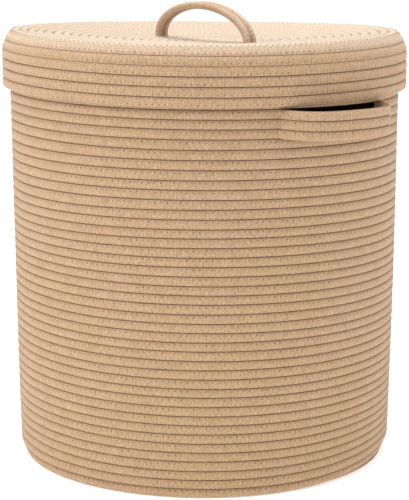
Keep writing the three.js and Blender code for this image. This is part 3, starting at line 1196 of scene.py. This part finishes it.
    def build_handle_rows(self) -> None:
        """The rows that the side handles are part of, as wall at the front and back, and as two bands."""
        s = self.sizes
        first = s.rows_below_handle
        last = first + s.handle_rows - 1
        front, back, front_seams, back_seams = [], [], [], []
        bands, band_seams = ({side: [] for side in Side} for _ in range(2))
        for row in range(first, last + 1):
            start, end = row - 0.5, row + 0.5
            right_in, right_out, left_in, left_out = self.slot_ends(row)
            front.append(self.rope(right_out, left_in))
            back.append(self.rope(start, right_in))
            back.append(self.rope(left_out, end))
            sewn = (row < last, row > first)
            bands[Side.RIGHT].append(self.rope(right_in, right_out, True, sewn))
            bands[Side.LEFT].append(self.rope(left_in, left_out, True, sewn))
            front_seams.append(self.groove(right_out, left_in))
            back_seams += [self.groove(start, right_in), self.groove(left_out, end)]
            if row > first:
                band_seams[Side.RIGHT].append(self.groove(right_in, right_out, True))
                band_seams[Side.LEFT].append(self.groove(left_in, left_out, True))
        for name, runs, seams in (("front", front, front_seams), ("back", back, back_seams)):
            wall = self.shop.wind(f"handle_row_rope_{name}", runs, Slot.BASKET)
            nodes = [f"handle_row_{name}_{i + 1}" for i in range(s.handle_rows)]
            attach(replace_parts(wall, *nodes), "basket")
            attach(self.shop.sew(f"handle_row_seam_{name}", seams, Slot.BASKET), "basket")
        for side in Side:
            self.build_band(side, bands[side], band_seams[side])

    def build_band(self, side: Side, ropes: list[Run], seams: list[Run]) -> None:
        """One side handle: its strands and the seams between them.

        Args:
            side: Which handle.
            ropes: Its strands.
            seams: The grooves between them.
        """
        s = self.sizes
        label = side.name.lower()
        nodes = [f"{label}_handle_strand_{i + 1}" for i in range(s.handle_rows)]
        band = self.shop.wind(f"{label}_handle_band", ropes, Slot.HANDLE)
        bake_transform(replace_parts(band, *nodes))
        seam = self.shop.sew(f"{label}_handle_seam", seams, Slot.HANDLE)
        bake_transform(seam)

    def build_rim(self) -> None:
        """The rows above the handles, up to the rope's end inside the rim."""
        s = self.sizes
        first = s.rows_below_handle + s.handle_rows
        rim = self.shop.wind("rim_rope", [self.rope(first - 0.5, s.rows - 0.5)], Slot.BASKET)
        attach(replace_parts(rim, "rim_lower_course", "rim_coil"), "basket")
        right_in, right_out, left_in, left_out = self.slot_ends(first)
        seams = [self.groove(first - 0.5, right_in), self.groove(right_out, left_in),
                 self.groove(left_out, s.rows - 0.5)]
        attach(self.shop.sew("rim_seam", seams, Slot.BASKET), "basket")
        low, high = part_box("rim_rope_tail")
        middle = math.atan2((low.y + high.y) / 2.0, (low.x + high.x) / 2.0)
        away = np.linspace(-self.TAIL_ANGLE, self.TAIL_ANGLE, self.TAIL_STEPS)
        out = around(middle + away)
        centre = out * (s.rim_radius - 1.5 * s.thickness - self.TAIL_GAP) + UP * ((low.z + high.z) / 2.0)
        narrow = smooth((np.abs(away) - self.TAIL_NARROWS) / self.TAIL_TAPER) / 2.0
        half_height = (high.z - low.z) / 2.0 * (1.0 - narrow)
        tail = make_run(centre, out, upward(out), s.thickness / 2.0, half_height)
        piece = self.shop.wind("rim_rope_end", [tail], Slot.BASKET, sides=10)
        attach(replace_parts(piece, "rim_rope_tail"), "basket")


@dataclass(frozen=True)
class Spiral:
    """A flat spiral of rope.

    Attributes:
        turns: How many coils there are.
        pitch: Width of a coil.
        height: Height of the rope's middle.
        facing: 1 if the sewn side is on top, -1 if it is underneath.
        thickness: The rope's thickness.
        stitch: Length of a stitch and its return.
    """

    turns: int
    pitch: float
    height: float
    facing: float
    thickness: float
    stitch: float

    START_TURN = 0.35
    SEAM_TURN = 1.3
    END_TURN = 0.45
    STEP_LENGTH = 0.007

    def turned(self, first: float, step: float) -> np.ndarray:
        """Turns at even steps along the rope.

        Args:
            first: Turn where it starts.
            step: Distance between points.

        Returns:
            The turns, up to the thin end of the last coil.
        """
        start, end = (math.pi * self.pitch * turn ** 2 for turn in (first, self.turns + self.END_TURN))
        return np.sqrt(np.arange(start, end, step) / (math.pi * self.pitch))

    def edge(self, turn: np.ndarray) -> np.ndarray:
        """Radius of the groove half a turn on, which stops at the spiral's outer edge."""
        return np.minimum(turn, self.turns) * self.pitch

    def rope(self) -> Run:
        """The rope, from the middle to the thin end of the last coil.

        Returns:
            The run.
        """
        turn = self.turned(self.START_TURN, self.STEP_LENGTH)
        inside, outside = self.edge(turn - 0.5), self.edge(turn + 0.5)
        out = around(-2.0 * math.pi * turn)
        centre = out * ((inside + outside) / 2.0)[:, None] + UP * self.height
        count = math.pi * self.pitch * turn ** 2 / self.stitch
        inner = math.pi * self.pitch * np.maximum(turn - 1.0, 0.0) ** 2 / self.stitch
        across = upward(out) * self.facing
        half_width = (outside - inside) / 2.0
        return make_run(centre, across, out, self.thickness / 2.0, half_width, count, inner + 0.5)

    def groove(self) -> Run:
        """The groove between the coils, with four points to a stitch.

        Returns:
            The run.
        """
        turn = self.turned(self.SEAM_TURN, self.stitch / 4.0)
        out = around(-2.0 * math.pi * turn)
        centre = out * self.edge(turn - 0.5)[:, None] + UP * self.height
        across = upward(out) * self.facing
        return make_run(centre, across, out, self.thickness / 2.0, 0.0)


# ---------------------------------------------------------------- lid


@dataclass
class Lid:
    """The lid: a spiral that dips in the middle, a rounded shoulder and a turned-down skirt.

    Attributes:
        sizes: The hamper's sizes.
        shop: Recipes and finishes.
        steps: Points of the rope in a turn, at the rim of the lid.
        stitches: Stitches in a turn of the skirt.
    """

    sizes: HamperSizes
    shop: Workshop
    steps: int = 200
    stitches: int = 214

    SHOULDER_INSET = 0.0033
    SHOULDER_RUN = 0.0056
    CREST_DROP = 0.0016
    SADDLE_LIFT = 0.0014
    SADDLE_DROP = 0.0019
    ROLL = 0.0013
    FIRST_TURN = -0.8

    def __post_init__(self) -> None:
        """Works out the seams across the lid, from its middle to the skirt's lower edge."""
        s = self.sizes
        self.disc_rows = round(s.disc_radius / s.pitch)
        dish = s.crest - s.thickness - s.disc_bottom
        disc = np.linspace(0.0, s.disc_radius, self.disc_rows + 1)
        shoulder = s.skirt_radius - self.SHOULDER_INSET
        skirt = np.linspace(s.skirt_top, s.skirt_bottom, s.skirt_coils + 1)[1:]
        self.seams = np.concatenate([
            np.stack([disc, s.crest - dish * (1.0 - (disc / s.disc_radius) ** 2)], axis=1),
            [(shoulder - self.SHOULDER_RUN, s.crest - self.CREST_DROP), (shoulder, s.skirt_top)],
            np.stack([np.full_like(skirt, s.skirt_radius), skirt], axis=1),
        ])
        step = np.diff(self.seams, axis=0)
        self.slopes = np.arctan2(-step[:, 1], step[:, 0])
        self.widths = np.linalg.norm(step, axis=1)
        self.rows = len(step)
        self.places = np.arange(self.rows) + 0.5
        normal = np.stack([np.sin(self.slopes), np.cos(self.slopes)], axis=1)
        self.middles = (self.seams[:-1] + self.seams[1:]) / 2.0 - normal * s.thickness / 2.0
        self.winding = Winding(rows=self.rows, even_from=-5.0, even_to=float(self.disc_rows), evenness=1.0,
                               ramp_rows=3.0, unevenness=0.035)

    def lift(self, angle: np.ndarray, radius: np.ndarray) -> np.ndarray:
        """How far the lid's slight saddle shape raises it.

        Args:
            angle: Radians from +X.
            radius: From the hamper's axis.

        Returns:
            Heights to add.
        """
        share = (radius / self.sizes.skirt_radius) ** 2
        turn = angle - FRONT
        return share * (self.SADDLE_LIFT - self.SADDLE_DROP * np.cos(2.0 * turn) - self.ROLL * np.sin(turn))

    def directions(self, angle: np.ndarray, level: np.ndarray) -> tuple[np.ndarray, np.ndarray]:
        """Directions out of the lid and on towards the next coil.

        Args:
            angle: Radians from +X.
            level: Levels in rows, 0 in the middle of the lid.

        Returns:
            The directions out of the surface, and along it.
        """
        slope = np.interp(level, self.places, self.slopes)
        out = around(angle)
        across = out * np.sin(slope)[:, None] + UP * np.cos(slope)[:, None]
        along = out * np.cos(slope)[:, None] - UP * np.sin(slope)[:, None]
        return across, along

    def rope(self, first: float, last: float) -> Run:
        """The lid rope from one turn to another.

        Args:
            first: Turn where the run starts.
            last: Turn where it ends.

        Returns:
            The run.
        """
        turn = np.linspace(first, last, max(24, round((last - first) * self.steps)))
        low, high = self.winding.boundary(turn), self.winding.boundary(turn + 1.0)
        level = (low + high) / 2.0
        radius, height = (np.interp(level, self.places, self.middles[:, i]) for i in range(2))
        angle = self.winding.angle(turn)
        across, along = self.directions(angle, level)
        centre = around(angle) * radius[:, None] + UP * (height + self.lift(angle, radius))[:, None]
        half = (high - low) * np.interp(level, self.places, self.widths) / 2.0
        up = self.stitch_count(turn + 1.0)
        down = self.stitch_count(turn) + 0.5
        return make_run(centre, across, along, self.sizes.thickness / 2.0, half, up, down)

    def stitch_count(self, turn: np.ndarray) -> np.ndarray:
        """Stitches sewn along the groove; the disc's coils are shorter near the middle.

        Args:
            turn: How far the rope has been wound.

        Returns:
            The count up to that turn.
        """
        edge = float(self.disc_rows + 1)
        inside = self.stitches * np.minimum(turn, edge) ** 2 / (2.0 * edge)
        return inside + self.stitches * np.maximum(turn - edge, 0.0)

    def groove(self, first: float, last: float) -> Run:
        """The groove before the rope from one turn to another, with four points to a stitch.

        Args:
            first: Turn where the groove starts.
            last: Turn where it ends.

        Returns:
            The run.
        """
        sample = np.linspace(first, last, 40 * max(1, round(last - first)) + 2)
        count = self.stitch_count(sample)
        quarter = np.arange(math.ceil(count[0]) * 4, math.floor(count[-1]) * 4 + 1) / 4.0
        turn = np.interp(quarter, count, sample)
        level = self.winding.boundary(turn)
        radius, height = (np.interp(level, np.arange(self.rows + 1), self.seams[:, i]) for i in range(2))
        angle = self.winding.angle(turn)
        across, along = self.directions(angle, level)
        half = self.sizes.thickness / 2.0
        outside = around(angle) * radius[:, None] + UP * (height + self.lift(angle, radius))[:, None]
        return make_run(outside - across * half, across, along, half, 0.0)

    def build(self) -> None:
        """Makes and dresses the whole lid."""
        top = self.disc_rows + 1.5
        # The top and the shoulder take the painted-light copies of the lid rope's finish.
        disc = self.shop.wind("lid_top_rope", [self.rope(self.FIRST_TURN, top - 1.0)], Slot.LID, sides=12,
                              material=self.shop.lid_top_painted_light_finish)
        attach(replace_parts(disc, "lid_disc", "lid_edge_coil"), "lid")
        shoulder = self.shop.wind("lid_shoulder_rope", [self.rope(top - 1.0, top)], Slot.LID, sides=16,
                                  material=self.shop.lid_edge_painted_light_finish)
        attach(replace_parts(shoulder, "lid_shoulder_coil"), "lid")
        skirt = self.shop.wind("lid_skirt_rope", [self.rope(top, self.rows - 0.5)], Slot.LID)
        nodes = [f"lid_skirt_coil_{i + 1}" for i in range(self.sizes.skirt_coils)]
        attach(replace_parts(skirt, *nodes), "lid")
        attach(self.shop.sew("lid_top_seam", [self.groove(1.2, top)], Slot.LID), "lid")
        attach(self.shop.sew("lid_skirt_seam", [self.groove(top, self.rows - 0.5)], Slot.LID), "lid")


@dataclass
class LidHandle:
    """The lid's loop: two ropes sewn side by side, turned in under the lid at both ends.

    Attributes:
        sizes: The hamper's sizes.
        shop: Recipes and finishes.
        squareness: 2 for an ellipse, more for a squarer arch.
        stitch: Length of a stitch and its return.
    """

    sizes: HamperSizes
    shop: Workshop
    squareness: float = 2.0
    stitch: float = 0.0060

    RISE_SHARE = 1.025
    LEAN_SHARE = 0.8
    ARCH_STEPS = 72
    TAIL_STEPS = 10
    POINT_GAP = 0.0022
    TAIL_BEND = 0.004
    PRESSED_SHARE = 0.98
    BLEND_LENGTH = 0.018

    def line(self, shift: float) -> np.ndarray:
        """The middle line of one rope, from under the lid over the arch and back under the lid.

        Args:
            shift: How far the rope lies to one side of the pair's middle.

        Returns:
            Points at even distances.
        """
        s = self.sizes
        front, back = (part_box(f"lid_handle_rope_{name}")[0] for name in ("front", "back"))
        foot = front.z
        low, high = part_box("lid_handle_tail_right")
        rise = (s.loop_top - s.loop_rope / 2.0 - foot) * self.RISE_SHARE
        lean = ((front.y + back.y) / 2.0 + s.loop_rope / 2.0) * self.LEAN_SHARE
        angle = np.linspace(0.0, math.pi, self.ARCH_STEPS)
        power = 2.0 / self.squareness
        along = np.sign(np.cos(angle)) * np.abs(np.cos(angle)) ** power
        up = np.clip(np.sin(angle), 0.0, 1.0) ** power
        arch = np.stack([s.loop_half_span * along, shift + lean * up, foot + rise * up], axis=1)
        tail_height = (low.z + high.z) / 2.0
        reach = high.x - s.loop_rope - self.TAIL_BEND
        bend = np.linspace(0.0, math.pi / 2.0, self.TAIL_STEPS)
        drop = foot - tail_height
        turn_in = np.stack([reach + (s.loop_half_span - reach) * np.cos(bend),
                            np.full_like(bend, shift), foot - drop * np.sin(bend)], axis=1)
        end = np.linspace(turn_in[-1], [low.x + self.TAIL_BEND, shift, tail_height], self.TAIL_STEPS)[1:]
        right = np.concatenate([turn_in[1:], end])[::-1]
        left = right[::-1] * np.array([-1.0, 1.0, 1.0])
        return evenly(np.concatenate([right, arch, left]), self.POINT_GAP)

    def frame_of(self, points: np.ndarray) -> tuple[np.ndarray, np.ndarray]:
        """Directions out of the arch and to its side.

        Args:
            points: Points along the rope.

        Returns:
            The directions out of the arch, and across it.
        """
        forward = unit(np.gradient(points, axis=0))
        side = np.broadcast_to(np.array([0.0, 1.0, 0.0]), forward.shape)
        out = unit(np.cross(side, forward))
        return out, unit(np.cross(forward, out))

    def build(self) -> None:
        """Makes the two ropes and the seams between them."""
        s = self.sizes
        half = s.loop_rope / 2.0
        for name, side in (("front", -1.0), ("back", 1.0)):
            points = self.line(side * half * self.PRESSED_SHARE)
            out, across = self.frame_of(points)
            across = across if across[0] @ np.array([0.0, 1.0, 0.0]) > 0 else -across
            count = lengths(points) / self.stitch + 1.0
            seams = (count, NO_SEAM) if side < 0 else (NO_SEAM, count + 0.5)
            run = make_run(points, out, across, half, half, *seams)
            # The loop takes the painted-light copy of the rope finish.
            rope = self.shop.wind(f"lid_loop_rope_{name}", [run], Slot.HANDLE, sides=18,
                                  material=self.shop.loop_painted_light_finish, squareness=2.1)
            nodes = [f"lid_handle_rope_{name}"] + ([f"lid_handle_tail_{n}" for n in ("left", "right")]
                                                   if side < 0 else [])
            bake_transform(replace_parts(rope, *nodes))
        grooves = [self.seam_run(1.0), self.seam_run(-1.0)]
        seam = self.shop.sew("lid_loop_seam", grooves, Slot.HANDLE, Depth_in_groove=0.0024,
                             Reach_above=0.0022, Reach_below=0.0022, Depth_below=0.0007, Depth_above=0.0007)
        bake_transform(seam)

    def seam_run(self, face: float) -> Run:
        """The groove between the two ropes.

        Args:
            face: 1 on the outside of the arch, -1 on its inside.

        Returns:
            The run, with four points to a stitch.
        """
        points = evenly(self.line(0.0), self.stitch / 4.0)
        out, across = self.frame_of(points)
        return make_run(points, out * face, across, self.sizes.loop_rope / 2.0, 0.0)


# ---------------------------------------------------------------- studio


@dataclass
class Studio:
    """Floor, light and camera.

    Attributes:
        azimuth: Direction of the camera round the hamper, in degrees.
        distance: From the hamper's axis to the camera.
        height: Of the camera above the floor.
        tilt: How far the camera looks down, in degrees.
        lens: Focal length in millimetres.
    """

    azimuth: float = 50.0
    distance: float = 1.855
    height: float = 0.566
    tilt: float = 10.71
    lens: float = 124.5

    HORIZON = 1.0
    SKY = 0.55
    FLOOR_HALF = 12.0
    FLOOR_DROP = 0.0004
    FLOOR_GLOW = 0.5
    LIGHTS_AIM = (0.0, 0.0, 0.25)

    def build(self) -> None:
        """Makes the camera, the floor and the lights."""
        self.build_camera()
        self.build_floor()
        self.build_light()

    def build_camera(self) -> None:
        """The camera, level from side to side."""
        data = bpy.data.cameras.new("camera")
        data.lens = self.lens
        data.sensor_width = 36.0
        data.clip_end = 50.0
        camera = place("camera", data)
        turn = math.radians(self.azimuth)
        camera.location = (self.distance * math.sin(turn), -self.distance * math.cos(turn), self.height)
        camera.rotation_euler = (math.radians(90.0 - self.tilt), 0.0, turn)
        bpy.context.scene.camera = camera

    def build_floor(self) -> None:
        """A plain pale floor."""
        mesh = bpy.data.meshes.new("floor")
        corners = ((-1, -1), (1, -1), (1, 1), (-1, 1))
        mesh.from_pydata([(x * self.FLOOR_HALF, y * self.FLOOR_HALF, -self.FLOOR_DROP) for x, y in corners],
                         [], [(0, 1, 2, 3)])
        material, _, surface = new_material("floor_white")
        surface.inputs["Base Color"].default_value = (0.93, 0.93, 0.93, 1.0)
        surface.inputs["Roughness"].default_value = 0.9
        surface.inputs["Emission Color"].default_value = (1.0, 1.0, 1.0, 1.0)
        surface.inputs["Emission Strength"].default_value = self.FLOOR_GLOW
        mesh.materials.append(material)
        floor = place("floor", mesh)

    def build_light(self) -> None:
        """A white surround with broad soft lights above and to the sides."""
        scene = bpy.context.scene
        scene.view_settings.view_transform = "Standard"
        scene.view_settings.look = "None"
        world = bpy.data.worlds.new("studio")
        world.use_nodes = True
        b = TreeBuilder(world.node_tree)
        coords = b.node("ShaderNodeTexCoord").outputs["Generated"]
        up = b.node("ShaderNodeSeparateXYZ", {0: coords}).outputs[2]
        sky = b.ramp(up, 0.02, 0.30, self.HORIZON, self.SKY)
        background = world.node_tree.nodes["Background"]
        background.inputs["Color"].default_value = (1.0, 1.0, 1.0, 1.0)
        world.node_tree.links.new(sky, background.inputs["Strength"])
        scene.world = world
        self.softbox("top_light", (0.0, 0.0, 2.4), 1.5, 46.0)
        self.softbox("left_light", self.from_camera(-2.2, 0.9, 1.5), 1.6, 26.0)
        self.softbox("right_light", self.from_camera(2.3, 0.5, 1.0), 1.6, 7.0)

    def from_camera(self, right: float, toward: float, height: float) -> tuple[float, float, float]:
        """A place to the right of the hamper and towards the camera."""
        turn = math.radians(self.azimuth)
        return (right * math.cos(turn) + toward * math.sin(turn),
                right * math.sin(turn) - toward * math.cos(turn), height)

    def softbox(self, name: str, spot: tuple[float, float, float], size: float, power: float) -> None:
        """One square light that faces the middle of the hamper.

        Args:
            name: The light's name.
            spot: Where it hangs.
            size: Length of its side.
            power: Its power in watts.
        """
        data = bpy.data.lights.new(name, "AREA")
        data.size = size
        data.energy = power
        light = place(name, data)
        light.location = spot
        aim = Vector(self.LIGHTS_AIM) - Vector(spot)
        light.rotation_euler = aim.to_track_quat("-Z", "Y").to_euler()


def main() -> None:
    """Builds the studio and every sub-assembly."""
    logging.basicConfig(level=logging.INFO, format="%(name)s: %(message)s")
    Studio().build()
    sizes = HamperSizes.from_frame()
    LOG.info("%s", sizes)
    shop = Workshop()
    for assembly in (Basket(sizes, shop), Lid(sizes, shop), LidHandle(sizes, shop)):
        assembly.build()
        LOG.info("%s done", type(assembly).__name__)


if __name__ == "__main__":
    main()
